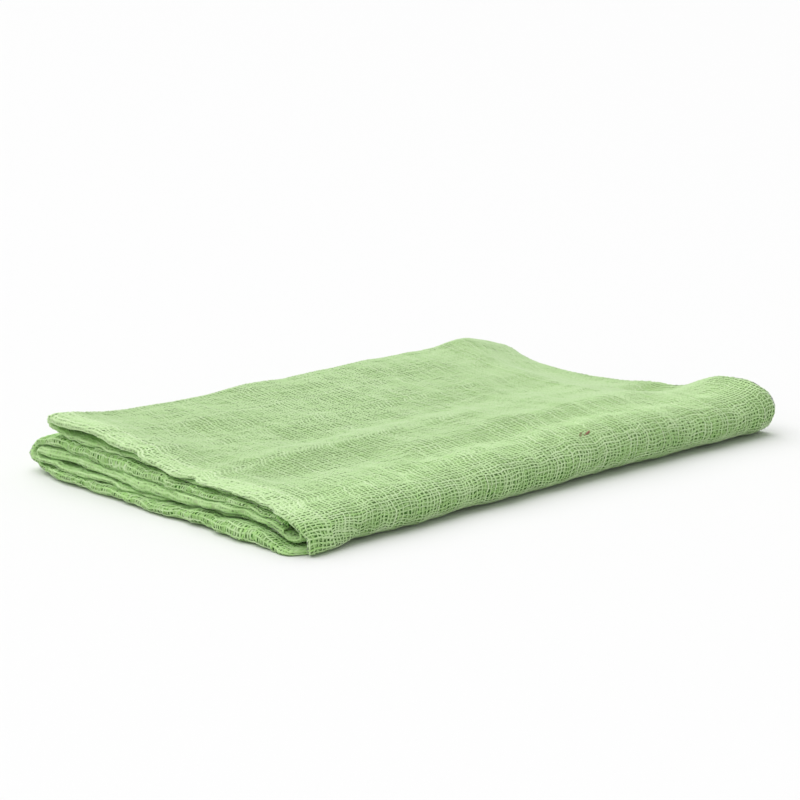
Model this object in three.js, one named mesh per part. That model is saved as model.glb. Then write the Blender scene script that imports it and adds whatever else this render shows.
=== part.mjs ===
// Play cloth of open-weave cotton gauze, folded flat into a low pad.
// The cloth is doubled twice across its length, then folded in six along its
// width: a doubled sheet folded in three like a letter. Each layer of this one
// ribbon-like body stands for four plies of gauze lying on each other.
// Units are millimetres. +X runs along the long front fold, +Y from that fold
// to the loose back folds, +Z up. The pad rests on z = 0.
import * as THREE from 'three';

// Six layers lie in the pad, numbered from the bottom.
const BOTTOM = 0;
const LOWER_INNER = 1;
const MIDDLE = 2;
const UPPER_INNER = 3;
const FLAP_UNDER = 4;
const FLAP_TOP = 5;
const LAYERS = 6;

const LAYER_GAP = 0.6; // air between two layers
const THINNEST_LAYER = 0.6; // four plies of gauze pressed together

// The pad's shape at places along the long fold. front: y of the front fold's
// nose. crest, middle, back: height of the top over the front fold, the middle
// and the flap's loose end. lean: how far the front slope leans back.
// flapEnd, loopEnd: y of the flap's end and of the outer back loop's tip.
const STATIONS = table(
  ['x', 'front', 'crest', 'lean', 'middle', 'back', 'flapEnd', 'loopEnd'],
  [
    [-112.5, -63.2, 11.4, 7, 13.8, 20.6, 72, 80],
    [-96, -63.9, 13.2, 6, 14.4, 18.0, 71, 79],
    [-60, -63.8, 13.8, 5, 15.2, 17.6, 70, 75],
    [-10, -63.2, 15.4, 4, 15.2, 18.4, 70, 73],
    [35, -62.9, 17.0, 3, 15.2, 18.9, 69, 71],
    [70, -63.5, 15.8, 3, 14.0, 19.0, 68, 69],
    [90, -64.0, 15.4, 3, 12.0, 17.2, 67, 68],
    [102, -63.8, 17.0, 3, 11.2, 14.6, 66, 67],
    [113, -62.4, 19.2, 1, 11.4, 11.4, 64, 66],
  ],
);
const MIDDLE_Y = 4; // where the middle height is reached
const PAD_CENTRE = { x: -2.09, y: 8.5 }; // the finished pad's centre in this table

// Soft ridges (rise above 0) and troughs (below 0) across the top, each along
// a straight line, fading over its width to either side.
const CREASES = [
  { name: 'ridge behind the crest', x1: -35, y1: -28, x2: 72, y2: -31, rise: 1.3, width: 8 },
  { name: 'trough before that ridge', x1: -40, y1: -38, x2: 30, y2: -42, rise: -0.9, width: 7 },
  { name: 'long dimple at the front', x1: -88, y1: -24, x2: -48, y2: -24, rise: -1.2, width: 9 },
  { name: 'ridge between the dimples', x1: -80, y1: -10, x2: -25, y2: -8, rise: 0.9, width: 8 },
  { name: 'dimple in the middle', x1: -58, y1: 6, x2: -15, y2: 6, rise: -1.3, width: 9 },
  { name: 'short middle ridge', x1: -2, y1: -10, x2: 36, y2: -16, rise: 0.9, width: 8 },
  { name: 'hollow of the middle', x1: 5, y1: 4, x2: 50, y2: 2, rise: -0.9, width: 10 },
  { name: 'hollow near the flap corner', x1: -90, y1: 16, x2: -65, y2: 24, rise: -0.8, width: 11 },
  { name: 'ridge toward the far corner', x1: 72, y1: -20, x2: 82, y2: 45, rise: 0.9, width: 8 },
  { name: 'raised far corner', x1: 92, y1: 64, x2: 117, y2: 66, rise: 3.4, width: 14 },
  { name: 'hollow behind the right crest', x1: 98, y1: -19, x2: 116, y2: -25, rise: -3.8, width: 11 },
];

// How far each layer's left end stands out past the pad's left end at a
// place: the lower folds stick out, the flap's under layer stays in.
const LEFT_OUT = table(
  ['y', 'bottom', 'lowerInner', 'middle', 'upperInner', 'flapUnder', 'flapTop'],
  [
    [-66, -0.4, 0.0, 0.0, 0.0, 0.0, 0.0],
    [-63, -0.4, -1.0, -1.5, -1.5, -1.5, 0.0],
    [-57.5, 2.2, -1.5, -2.5, -2.5, -2.5, 0.0],
    [-50, 3.6, -1.5, -1.5, -2.0, -2.5, 0.0],
    [-40, 4.0, -1.5, -0.5, -1.0, -2.5, 0.0],
    [-15, 3.8, -1.5, 1.2, 0.2, -2.8, 0.0],
    [0, 4.4, -1.0, 1.6, 0.4, -2.8, 0.0],
    [24, 4.6, 1.8, 1.6, 0.4, -1.4, 0.0],
    [60, 4.4, 3.0, 1.6, 0.4, -1.2, 0.6],
    [75, 2.4, 3.0, 1.6, 0.4, -1.6, 2.0],
  ],
);
const LEFT_OUT_LAYERS = ['bottom', 'lowerInner', 'middle', 'upperInner', 'flapUnder', 'flapTop'];
const LEFT_OUT_REACH = 26; // over this length it fades out

// Heights of the seams between the layers where their left ends show: the
// ground, the five seams and the top.
const LEFT_SEAMS = table(
  ['y', 'ground', 'seam1', 'seam2', 'seam3', 'seam4', 'seam5', 'top'],
  [
    [-52, 0.0, 5.0, 6.2, 7.8, 9.0, 10.2, 11.6],
    [-42, 0.0, 5.0, 6.3, 8.4, 10.2, 11.6, 13.3],
    [-30, 0.0, 5.2, 6.6, 9.2, 10.9, 12.2, 13.7],
    [-10, 0.0, 4.0, 5.3, 8.4, 10.9, 12.3, 13.8],
    [10, 0.0, 2.6, 3.9, 7.4, 11.7, 13.1, 15.0],
    [20, 0.0, 2.8, 4.2, 8.2, 12.5, 14.3, 16.6],
    [30, 0.0, 2.9, 4.8, 7.9, 12.9, 15.2, 18.1],
    [40, 0.0, 3.7, 5.3, 8.0, 13.0, 16.0, 19.2],
    [50, 0.2, 3.4, 5.6, 9.2, 13.1, 16.2, 19.9],
    [60, 0.3, 3.2, 5.4, 9.5, 13.2, 16.3, 20.3],
    [67, 1.2, 3.8, 5.5, 9.4, 13.6, 17.0, 20.8],
    [75, 3.1, 4.6, 6.0, 9.0, 13.9, 18.8, 21.8],
  ],
);
const LEFT_SEAM_NAMES = ['ground', 'seam1', 'seam2', 'seam3', 'seam4', 'seam5', 'top'];
const LEFT_SEAM_REACH = 34; // over this length the seams become even

// Wider air at the left end: inside the inner back loop, under the flap and
// inside the flap, named by the seam that the air lies at.
const LEFT_AIR = table(
  ['y', 'seam2', 'seam4', 'seam5'],
  [
    [40, 0.0, 0.0, 0.6],
    [50, 0.6, 0.0, 1.2],
    [60, 1.6, 0.0, 1.0],
    [67, 0.6, 1.0, 0.6],
    [75, 1.2, 5.0, 0.0],
  ],
);

// How far the right end draws in toward the back.
const RIGHT_IN = table(
  ['y', 'inset'],
  [
    [-60, 0],
    [-30, 3.5],
    [-5, 9.5],
    [25, 15.5],
    [45, 14.5],
    [58, 11.9],
    [70, 10.9],
  ],
);
const RIGHT_IN_REACH = 75; // over this length it fades out

// Where the layers and bends start, measured back from the front fold's nose or
// forward from the back loop's tip, and how far a bend reaches from its start:
// each along the pad and at its left end.
const SETBACKS = {
  tuck: { pad: 17, left: 17 }, // the two free ends inside
  outerUnder: { pad: 8, left: 6 },
  outerUnderReach: { pad: 12, left: 9.5 },
  outerCrest: { pad: 15, left: 15 },
  innerUnder: { pad: 12, left: 15 },
  innerUnderReach: { pad: 10, left: 8 },
  innerCrest: { pad: 17, left: 17 },
  outerLoop: { pad: 13, left: 8 },
  innerLoop: { pad: 12.5, left: 5 },
};
const OUTER_CREST_REACH = 17; // less the lean
const INNER_CREST_REACH = 15; // less the lean
const SHARED_FRONT = 19; // from here on all six layers lie flat
const SHARED_BACK = 15; // and up to here
const LIFT_START = 26; // under the back loop the bottom layer lifts off the ground
const LIFT_END = 6;
const LIFT = 1.5;

// Cross-sections along X; the first and last few round off the ends.
const SECTIONS = 17;
const END_CROWDING = 0.5; // share by which they crowd toward the ends
const END_ROUNDING = [
  { inset: 0.0, share: 0.34 },
  { inset: 0.8, share: 0.78 },
  { inset: 2.4, share: 1.0 },
];
const FLAT_STEPS = 11; // points that all flat layers share
const FLAT_BIAS = 1.25; // above 1 draws these points toward the creased front
const TIGHT_STEPS = 5; // points round a small bend
const WIDE_STEPS = 8; // points round a large one
const TIGHT_SHARE = 0.8; // a small bend squeezes the cloth to this share

// Rows of values as objects with the columns' names.
function table(columns, rows) {
  return rows.map((row) => Object.fromEntries(columns.map((column, i) => [column, row[i]])));
}

// Cubic through a table's rows: the value of one column where the column that
// places the rows has the given value.
function along(rows, placing, place, column) {
  const last = rows.length - 1;
  const at = THREE.MathUtils.clamp(place, rows[0][placing], rows[last][placing]);
  let i = 0;
  while (i < last - 1 && at > rows[i + 1][placing]) i += 1;
  const run = (a, b) => rows[b][placing] - rows[a][placing];
  const slope = (a, b) => (rows[b][column] - rows[a][column]) / run(a, b);
  const span = run(i, i + 1);
  const t = (at - rows[i][placing]) / span;
  const startSlope = slope(Math.max(i - 1, 0), i + 1) * span;
  const endSlope = slope(i, Math.min(i + 2, last)) * span;
  const rise = t * t * (3 - 2 * t);
  return (
    rows[i][column] * (1 - rise) +
    rows[i + 1][column] * rise +
    startSlope * t * (1 - t) * (1 - t) -
    endSlope * t * t * (1 - t)
  );
}

function creaseHeight(x, y) {
  let height = 0;
  for (const crease of CREASES) {
    const dx = crease.x2 - crease.x1;
    const dy = crease.y2 - crease.y1;
    const t = ((x - crease.x1) * dx + (y - crease.y1) * dy) / (dx * dx + dy * dy);
    const nearest = THREE.MathUtils.clamp(t, 0, 1);
    const away = Math.hypot(x - crease.x1 - nearest * dx, y - crease.y1 - nearest * dy);
    height += crease.rise * Math.exp(-((away / crease.width) ** 2));
  }
  return height;
}

// The whole stack's height at one place of one station.
function stackHeight(station, y) {
  const frontShare = THREE.MathUtils.smoothstep(y, station.front + SHARED_FRONT, MIDDLE_Y);
  const backShare = THREE.MathUtils.smoothstep(y, MIDDLE_Y, station.flapEnd);
  const frontPart = THREE.MathUtils.lerp(station.crest, station.middle, frontShare);
  return THREE.MathUtils.lerp(frontPart, station.back, backShare) + creaseHeight(station.x, y);
}

// How far the bottom layer has lifted off the ground at one place.
function liftHeight(station, y) {
  const end = station.loopEnd;
  return LIFT * THREE.MathUtils.smoothstep(y, end - LIFT_START, end - LIFT_END);
}

// How much the left end's own seam heights count at a place.
function leftShare(station, y) {
  const nearEnd = 1 - THREE.MathUtils.smoothstep(station.x - STATIONS[0].x, 0, LEFT_SEAM_REACH);
  return nearEnd * THREE.MathUtils.smoothstep(y, station.front + 9, station.front + SHARED_FRONT);
}

// Height of the seam under layer number seam; seam 6 is the pad's top.
function seamHeight(station, seam, y) {
  const even = THREE.MathUtils.lerp(liftHeight(station, y), stackHeight(station, y), seam / LAYERS);
  const atLeft = along(LEFT_SEAMS, 'y', y, LEFT_SEAM_NAMES[seam]);
  return Math.max(THREE.MathUtils.lerp(even, atLeft, leftShare(station, y)), 0);
}

// Half of the air at a seam; there is none under the pad or over it.
function halfAir(station, seam, y) {
  if (seam === 0 || seam === LAYERS) return 0;
  const name = LEFT_SEAM_NAMES[seam];
  const wider = name in LEFT_AIR[0] ? along(LEFT_AIR, 'y', y, name) * leftShare(station, y) : 0;
  return (LAYER_GAP + wider) / 2;
}

function layerThickness(station, layer, y) {
  const low = seamHeight(station, layer, y) + halfAir(station, layer, y);
  const high = seamHeight(station, layer + 1, y) - halfAir(station, layer + 1, y);
  return Math.max(high - low, THINNEST_LAYER);
}

// Height of one layer's middle surface.
function layerHeight(station, layer, y) {
  const low = seamHeight(station, layer, y) + halfAir(station, layer, y);
  const high = seamHeight(station, layer + 1, y) - halfAir(station, layer + 1, y);
  return (low + high) / 2;
}

// The points along one flat layer, from its own first end over the places that
// all layers share to its own last end. facing is +1 where the cloth's outer
// side is up and -1 where it is down.
function flatRun(station, layer, fromY, toY, facing) {
  const sharedStart = station.front + SHARED_FRONT;
  const sharedEnd = station.loopEnd - SHARED_BACK;
  const shared = [];
  for (let i = 0; i < FLAT_STEPS; i += 1) {
    const share = (i / (FLAT_STEPS - 1)) ** FLAT_BIAS;
    shared.push(THREE.MathUtils.lerp(sharedStart, sharedEnd, share));
  }
  if (toY < fromY) shared.reverse();
  return [fromY, ...shared, toY].map((y) => ({
    y,
    z: layerHeight(station, layer, y),
    thickness: layerThickness(station, layer, y),
    out: leftOut(layer, y),
    normalY: 0,
    normalZ: facing,
  }));
}

// The points round a bend from one layer to another, pulled out by a reach at
// each end; negative reaches bend toward the front. squeeze is the share of
// thickness left at its middle. The cloth's outer side is on the left.
function bend(station, start, end, steps, squeeze) {
  const startZ = layerHeight(station, start.layer, start.y);
  const endZ = layerHeight(station, end.layer, end.y);
  const curve = new THREE.CubicBezierCurve(
    new THREE.Vector2(start.y, startZ),
    new THREE.Vector2(start.y + start.reach, startZ),
    new THREE.Vector2(end.y + end.reach, endZ),
    new THREE.Vector2(end.y, endZ),
  );
  const startThickness = layerThickness(station, start.layer, start.y);
  const endThickness = layerThickness(station, end.layer, end.y);
  const run = [];
  for (let i = 1; i <= steps; i += 1) {
    const t = i / (steps + 1);
    const point = curve.getPoint(t);
    const heading = curve.getTangent(t);
    const squeezed = THREE.MathUtils.lerp(1, squeeze, Math.sin(Math.PI * t));
    run.push({
      y: point.x,
      z: point.y,
      thickness: THREE.MathUtils.lerp(startThickness, endThickness, t) * squeezed,
      out: THREE.MathUtils.lerp(leftOut(start.layer, point.x), leftOut(end.layer, point.x), t),
      normalY: -heading.y,
      normalZ: heading.x,
    });
  }
  return run;
}

// The distance a half-round bend between two layers is pulled out.
function halfRound(station, upper, lower, y) {
  return (2 / 3) * (layerHeight(station, upper, y) - layerHeight(station, lower, y));
}

// The cloth's way through the pad at one station: from its upper free end
// inside, round the outer loop, under the pad, up over the front, round the
// flap's end and, inside all this, once more round and back.
function sectionPath(station) {
  const nearLeft = 1 - THREE.MathUtils.smoothstep(station.x - STATIONS[0].x, 0, LEFT_SEAM_REACH);
  const setback = ({ pad, left }) => THREE.MathUtils.lerp(pad, left, nearLeft);
  const tuck = station.front + setback(SETBACKS.tuck);
  const loopDepth = setback(SETBACKS.outerLoop);
  const outerLoop = station.loopEnd - loopDepth;
  const loopReach = (4 / 3) * loopDepth;
  const innerLoop = station.loopEnd - setback(SETBACKS.innerLoop);
  const innerReach = halfRound(station, MIDDLE, LOWER_INNER, innerLoop);
  const flapReach = halfRound(station, FLAP_TOP, FLAP_UNDER, station.flapEnd);
  const flapTop = station.flapEnd - flapReach;
  const outerUnder = station.front + setback(SETBACKS.outerUnder);
  const outerUnderReach = -setback(SETBACKS.outerUnderReach);
  const outerCrest = station.front + setback(SETBACKS.outerCrest);
  const outerCrestReach = station.lean - OUTER_CREST_REACH;
  const innerUnder = station.front + setback(SETBACKS.innerUnder);
  const innerUnderReach = -setback(SETBACKS.innerUnderReach);
  const innerCrest = station.front + setback(SETBACKS.innerCrest);
  const innerCrestReach = station.lean - INNER_CREST_REACH;
  return [
    ...flatRun(station, UPPER_INNER, tuck, outerLoop, 1),
    ...bend(
      station,
      { layer: UPPER_INNER, y: outerLoop, reach: loopReach },
      { layer: BOTTOM, y: outerLoop, reach: loopReach },
      WIDE_STEPS,
      1,
    ),
    ...flatRun(station, BOTTOM, outerLoop, outerUnder, -1),
    ...bend(
      station,
      { layer: BOTTOM, y: outerUnder, reach: outerUnderReach },
      { layer: FLAP_TOP, y: outerCrest, reach: outerCrestReach },
      WIDE_STEPS,
      1,
    ),
    ...flatRun(station, FLAP_TOP, outerCrest, flapTop, 1),
    ...bend(
      station,
      { layer: FLAP_TOP, y: flapTop, reach: flapReach },
      { layer: FLAP_UNDER, y: flapTop, reach: flapReach },
      TIGHT_STEPS,
      TIGHT_SHARE,
    ),
    ...flatRun(station, FLAP_UNDER, flapTop, innerCrest, -1),
    ...bend(
      station,
      { layer: FLAP_UNDER, y: innerCrest, reach: innerCrestReach },
      { layer: LOWER_INNER, y: innerUnder, reach: innerUnderReach },
      WIDE_STEPS,
      1,
    ),
    ...flatRun(station, LOWER_INNER, innerUnder, innerLoop, 1),
    ...bend(
      station,
      { layer: LOWER_INNER, y: innerLoop, reach: innerReach },
      { layer: MIDDLE, y: innerLoop, reach: innerReach },
      TIGHT_STEPS,
      TIGHT_SHARE,
    ),
    ...flatRun(station, MIDDLE, innerLoop, tuck, -1),
  ];
}

// How far a layer's left end stands out at one place.
function leftOut(layer, y) {
  return along(LEFT_OUT, 'y', y, LEFT_OUT_LAYERS[layer]);
}

// How far the right end draws in at one place.
function rightIn(x, y) {
  const right = STATIONS[STATIONS.length - 1].x;
  const fade = THREE.MathUtils.smoothstep(x, right - RIGHT_IN_REACH, right);
  return along(RIGHT_IN, 'y', y, 'inset') * fade;
}

// Where the cross-sections stand, each with the share of full thickness there.
function crossSections() {
  const left = STATIONS[0].x;
  const right = STATIONS[STATIONS.length - 1].x;
  const inset = END_ROUNDING[END_ROUNDING.length - 1].inset;
  const middle = [];
  for (let i = 1; i < SECTIONS - 1; i += 1) {
    const even = i / (SECTIONS - 1);
    const crowded = even * even * (3 - 2 * even);
    const t = THREE.MathUtils.lerp(even, crowded, END_CROWDING);
    const x = THREE.MathUtils.lerp(left + inset, right - inset, t);
    middle.push({ x, share: 1 });
  }
  return [
    ...END_ROUNDING.map((end) => ({ x: left + end.inset, share: end.share })),
    ...middle,
    ...END_ROUNDING.map((end) => ({ x: right - end.inset, share: end.share })).reverse(),
  ];
}

// One closed ring of points round the cloth's section: along its outer side,
// then back along its inner side.
function sectionRing(section) {
  const station = { x: section.x };
  for (const column of ['front', 'crest', 'lean', 'middle', 'back', 'flapEnd', 'loopEnd']) {
    station[column] = along(STATIONS, 'x', section.x, column);
  }
  const path = sectionPath(station);
  const outShare = 1 - THREE.MathUtils.smoothstep(section.x - STATIONS[0].x, 0, LEFT_OUT_REACH);
  const side = (sign) =>
    path.map((point) => {
      const half = (sign * section.share * point.thickness) / 2;
      return new THREE.Vector3(
        section.x - point.out * outShare - rightIn(section.x, point.y) - PAD_CENTRE.x,
        point.y + point.normalY * half - PAD_CENTRE.y,
        point.z + point.normalZ * half,
      );
    });
  return [...side(1), ...side(-1).reverse()];
}

function clothGeometry() {
  const rings = crossSections().map(sectionRing);
  const ringSize = rings[0].length;
  const positions = rings.flat().flatMap((point) => point.toArray());
  const triangles = [];
  for (let r = 0; r < rings.length - 1; r += 1) {
    for (let i = 0; i < ringSize; i += 1) {
      const a = r * ringSize + i;
      const b = r * ringSize + ((i + 1) % ringSize);
      triangles.push(a, a + ringSize, b);
      triangles.push(b, a + ringSize, b + ringSize);
    }
  }
  const lastRing = (rings.length - 1) * ringSize;
  for (let i = 0; i < ringSize / 2 - 1; i += 1) {
    const across = ringSize - 1 - i;
    triangles.push(i, i + 1, across);
    triangles.push(across, i + 1, across - 1);
    triangles.push(lastRing + i, lastRing + across, lastRing + i + 1);
    triangles.push(lastRing + across, lastRing + across - 1, lastRing + i + 1);
  }
  const geometry = new THREE.BufferGeometry();
  geometry.setAttribute('position', new THREE.Float32BufferAttribute(positions, 3));
  geometry.setIndex(triangles);
  geometry.computeVertexNormals();
  return geometry;
}

function gauzeMaterial() {
  return new THREE.MeshStandardMaterial({ color: 0xa9d488, roughness: 0.95, metalness: 0 });
}

const playCloth = new THREE.Mesh(clothGeometry(), gauzeMaterial());
playCloth.name = 'play_cloth';

const part = new THREE.Group();
part.add(playCloth);

export default part;
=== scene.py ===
"""A play cloth of open cotton gauze, folded into a low pad.

One thin sheet runs through all the folds of the part's solid: the cloth is doubled
twice across its length and then folded in six along its width. Where the cloth
shows, its yarns lie on the sheet as real warp and weft. Lengths are in millimetres
in the part's own table of places, and become metres when a mesh is made.
"""

import math

import bpy
import numpy as np
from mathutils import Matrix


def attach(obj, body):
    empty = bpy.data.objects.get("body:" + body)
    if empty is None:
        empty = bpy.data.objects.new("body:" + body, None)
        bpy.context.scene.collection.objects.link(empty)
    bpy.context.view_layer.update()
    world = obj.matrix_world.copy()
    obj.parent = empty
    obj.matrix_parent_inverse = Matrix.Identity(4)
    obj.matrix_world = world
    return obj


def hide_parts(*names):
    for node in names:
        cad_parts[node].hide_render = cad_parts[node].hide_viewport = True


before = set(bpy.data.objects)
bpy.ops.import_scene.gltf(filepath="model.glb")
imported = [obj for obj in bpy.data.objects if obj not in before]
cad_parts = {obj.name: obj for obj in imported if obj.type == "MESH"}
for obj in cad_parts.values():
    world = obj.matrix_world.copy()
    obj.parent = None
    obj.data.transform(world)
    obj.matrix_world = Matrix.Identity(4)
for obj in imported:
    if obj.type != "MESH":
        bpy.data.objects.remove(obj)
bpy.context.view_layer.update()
bpy.ops.object.select_all(action="DESELECT")

MM = 0.001

# ---------------------------------------------------------------- the folded pad
# Six layers lie in the pad, numbered from the bottom. Each is four plies of gauze.
BOTTOM = 0
LOWER_INNER = 1
MIDDLE = 2
UPPER_INNER = 3
FLAP_UNDER = 4
FLAP_TOP = 5
LAYERS = 6

# The pad's shape at places along the long front fold, as in the part's solid.
STATION_COLUMNS = ("x", "front", "crest", "lean", "middle", "back", "flap_end", "loop_end")
STATIONS = (
    (-112.5, -63.2, 11.4, 7, 13.8, 20.6, 72, 80),
    (-96, -63.9, 13.2, 6, 14.4, 18.0, 71, 79),
    (-60, -63.8, 13.8, 5, 15.2, 17.6, 70, 75),
    (-10, -63.2, 15.4, 4, 15.2, 18.4, 70, 73),
    (35, -62.9, 17.0, 3, 15.2, 18.9, 69, 71),
    (70, -63.5, 15.8, 3, 14.0, 19.0, 68, 69),
    (90, -64.0, 15.4, 3, 12.0, 17.2, 67, 68),
    (102, -63.8, 17.0, 3, 11.2, 14.6, 66, 67),
    (113, -62.4, 19.2, 1, 11.4, 11.4, 64, 66),
)
LEFT_X = STATIONS[0][0]
RIGHT_X = STATIONS[-1][0]

# Behind the front edge the layers share the height evenly up to EVEN_FRONT. From
# SHARED_FRONT on, the left end's own seams count in full, and the top goes from its
# crest to its middle height at MIDDLE_Y. PAD_CENTRE becomes the frame's origin.
EVEN_FRONT = 9
SHARED_FRONT = 19
MIDDLE_Y = 4
PAD_CENTRE = (-2.09, 8.5)

# Soft ridges and troughs of the top: a line, its rise and how far it fades.
CREASE_COLUMNS = ("x1", "y1", "x2", "y2", "rise", "width")
CREASES = (
    (-35, -28, 72, -31, 1.3, 8),
    (-40, -38, 30, -42, -0.9, 7),
    (-88, -24, -48, -24, -1.2, 9),
    (-80, -10, -25, -8, 0.9, 8),
    (-58, 6, -15, 6, -1.3, 9),
    (-2, -10, 36, -16, 0.9, 8),
    (5, 4, 50, 2, -0.9, 10),
    (-90, 16, -65, 24, -0.8, 11),
    (72, -20, 82, 45, 0.9, 8),
    (92, 64, 117, 66, 3.4, 14),
    (98, -19, 116, -25, -3.8, 11),
)

# How far each layer's left end stands out at a place, and how the right end draws in.
LEFT_OUT_COLUMNS = ("y", "bottom", "lower_inner", "middle", "upper_inner", "flap_under", "flap_top")
LEFT_OUTS = (
    (-66, -0.4, 0.0, 0.0, 0.0, 0.0, 0.0),
    (-63, -0.4, -1.0, -1.5, -1.5, -1.5, 0.0),
    (-60.5, -3.4, -1.5, -2.0, -2.0, -2.0, 0.0),
    (-57.5, 2.2, -1.5, -2.5, -2.5, -2.5, 0.0),
    (-50, 3.6, -1.5, -1.5, -2.0, -2.5, 0.0),
    (-40, 4.0, -1.5, -0.5, -1.0, -2.5, 0.0),
    (-28, 4.2, -1.2, 0.6, -0.2, -2.8, 0.0),
    (-15, 3.8, -1.5, 1.2, 0.2, -2.8, 0.0),
    (0, 4.4, -1.0, 1.6, 0.4, -2.8, 0.0),
    (12, 4.6, 0.0, 1.6, 0.4, -2.4, 0.0),
    (24, 4.6, 1.8, 1.6, 0.4, -1.4, 0.0),
    (60, 4.4, 3.0, 1.6, 0.4, -1.2, 0.6),
    (75, 2.4, 3.0, 1.6, 0.4, -1.6, 2.0),
)
LEFT_OUT_REACH = 26
RIGHT_IN_COLUMNS = ("y", "inset")
RIGHT_IN = ((-60, 0), (-30, 3.5), (-5, 9.5), (25, 15.5), (45, 14.5), (58, 11.9), (70, 10.9))
RIGHT_IN_REACH = 75

# Where bends start behind the front edge or before the back one and how far they
# reach on: the usual size, and how much it changes at the left end.
BENDS = {
    "tuck": (17, -5),
    "outer loop": (13, -5),
    "inner loop": (12.5, -7.5),
    "outer under": (10, -7),
    "outer under reach": (-13.6, 7.6),
    "outer crest": (15, 0),
    "outer crest reach": (-17, 0),
    "inner under": (10, 0),
    "inner under reach": (-10, 0),
    "inner crest": (16, 0),
    "inner crest reach": (-15, 0),
    "front raised": (0.7, -0.7),
}

# A bend comes out by three quarters of its reach, so a hairpin is half round and a
# loop comes to its full depth. A tight bend squeezes the room of its layers.
HAIRPIN_REACH = 2 / 3
LOOP_REACH = 4 / 3
TIGHT_SHARE = 0.8

# Where the top grows calm, from before to behind the front fold's end.
CALM_REACH = (-19, -1)

# The bottom layer lifts off the surface toward the back loop.
LIFT_START = 26
LIFT_END = 6
LIFT = 1.5

# Heights of the seams between the layers where the left ends show, by place, and
# the air there: inside the inner back loop, under the flap and inside the flap.
LEFT_SEAM_COLUMNS = (
    "y", "ground", "s1", "s2", "s3", "s4", "s5", "top", "loop_gap", "rest_gap", "flap_gap",
)
LEFT_SEAMS = (
    (-52, 0.2, 5.0, 6.0, 7.6, 8.8, 9.9, 11.6, 0.0, 0.3, 0.4),
    (-42, 0.2, 5.0, 6.1, 8.4, 10.2, 11.6, 13.3, 0.0, 0.3, 0.6),
    (-30, 0.2, 5.2, 6.4, 9.2, 10.9, 12.1, 13.7, 0.0, 0.2, 0.7),
    (-20, 0.2, 4.5, 5.7, 8.8, 10.9, 12.2, 13.8, 0.0, 0.1, 0.7),
    (-10, 0.2, 4.0, 5.2, 8.4, 10.9, 12.2, 13.8, 0.0, 0.0, 0.6),
    (0, 0.2, 3.3, 4.5, 7.7, 11.0, 12.4, 14.0, 0.0, 0.0, 0.6),
    (10, 0.2, 2.6, 3.9, 7.4, 11.7, 13.1, 15.0, 0.0, 0.0, 0.6),
    (20, 0.2, 2.8, 4.2, 8.2, 12.5, 14.3, 16.6, 0.0, 0.0, 0.7),
    (30, 0.2, 2.9, 4.8, 7.9, 12.9, 15.2, 18.1, 0.0, 0.0, 0.9),
    (40, 0.2, 3.7, 5.3, 8.0, 13.0, 16.0, 19.2, 0.0, 0.0, 1.2),
    (50, 0.2, 3.4, 5.6, 9.2, 13.1, 16.2, 19.9, 0.6, 0.0, 1.9),
    (60, 0.3, 3.2, 5.4, 9.5, 13.2, 16.3, 20.3, 2.0, 0.0, 1.6),
    (67, 1.2, 3.8, 5.5, 9.4, 13.6, 17.0, 20.8, 0.9, 1.3, 1.2),
    (75, 3.1, 4.6, 6.0, 9.0, 13.9, 18.8, 21.8, 1.8, 5.5, 0.2),
)
SEAM_WAVE = 0.2
SEAM_WAVELENGTH = 13
LEFT_SEAM_REACH = 34
RUN_POINTS = 160
GAP_AT_SEAM = {2: "loop_gap", 4: "rest_gap", 5: "flap_gap"}


def smoothstep(value, start, end):
    share = np.clip((value - start) / (end - start), 0.0, 1.0)
    return share * share * (3 - 2 * share)


def blend(start, end, share):
    return start + (end - start) * share


def along(rows, columns, place, column):
    """Smooth curve through one column of a table, placed by its first column."""
    table = np.array(rows, float)
    placing = table[:, 0]
    values = table[:, columns.index(column)]
    last = len(rows) - 1
    at = np.clip(place, placing[0], placing[last])
    i = np.clip(np.searchsorted(placing, at, side="right") - 1, 0, last - 1)
    before = np.maximum(i - 1, 0)
    after = np.minimum(i + 2, last)
    span = placing[i + 1] - placing[i]
    t = (at - placing[i]) / span
    start_slope = (values[i + 1] - values[before]) / (placing[i + 1] - placing[before])
    end_slope = (values[after] - values[i]) / (placing[after] - placing[i])
    rise = t * t * (3 - 2 * t)
    line = blend(values[i], values[i + 1], rise)
    return line + span * t * (1 - t) * (start_slope * (1 - t) - end_slope * t)


def ripple(a, b, wavelength, seed, waves=7):
    """A smooth random field over two lengths, of spread about 1."""
    chance = np.random.default_rng(seed)
    total = 0.0
    for _ in range(waves):
        heading = chance.uniform(0, 2 * math.pi)
        length = wavelength * chance.uniform(0.7, 1.5)
        start = chance.uniform(0, 2 * math.pi)
        travelled = a * math.cos(heading) + b * math.sin(heading)
        total = total + np.sin(travelled * 2 * math.pi / length + start)
    return total / math.sqrt(waves / 2)


def ripples(a, b, table):
    """Several ripples together, from rows of spread, wavelength and seed."""
    return sum(spread * ripple(a, b, wavelength, seed) for spread, wavelength, seed in table)


def crease_height(x, y):
    """What the soft ridges and troughs add to the top."""
    height = 0.0
    for row in CREASES:
        crease = dict(zip(CREASE_COLUMNS, row))
        dx = crease["x2"] - crease["x1"]
        dy = crease["y2"] - crease["y1"]
        t = ((x - crease["x1"]) * dx + (y - crease["y1"]) * dy) / (dx * dx + dy * dy)
        nearest = np.clip(t, 0, 1)
        away_x = x - crease["x1"] - nearest * dx
        away_y = y - crease["y1"] - nearest * dy
        away = (away_x**2 + away_y**2) / crease["width"] ** 2
        height = height + crease["rise"] * np.exp(-away)
    return height


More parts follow.
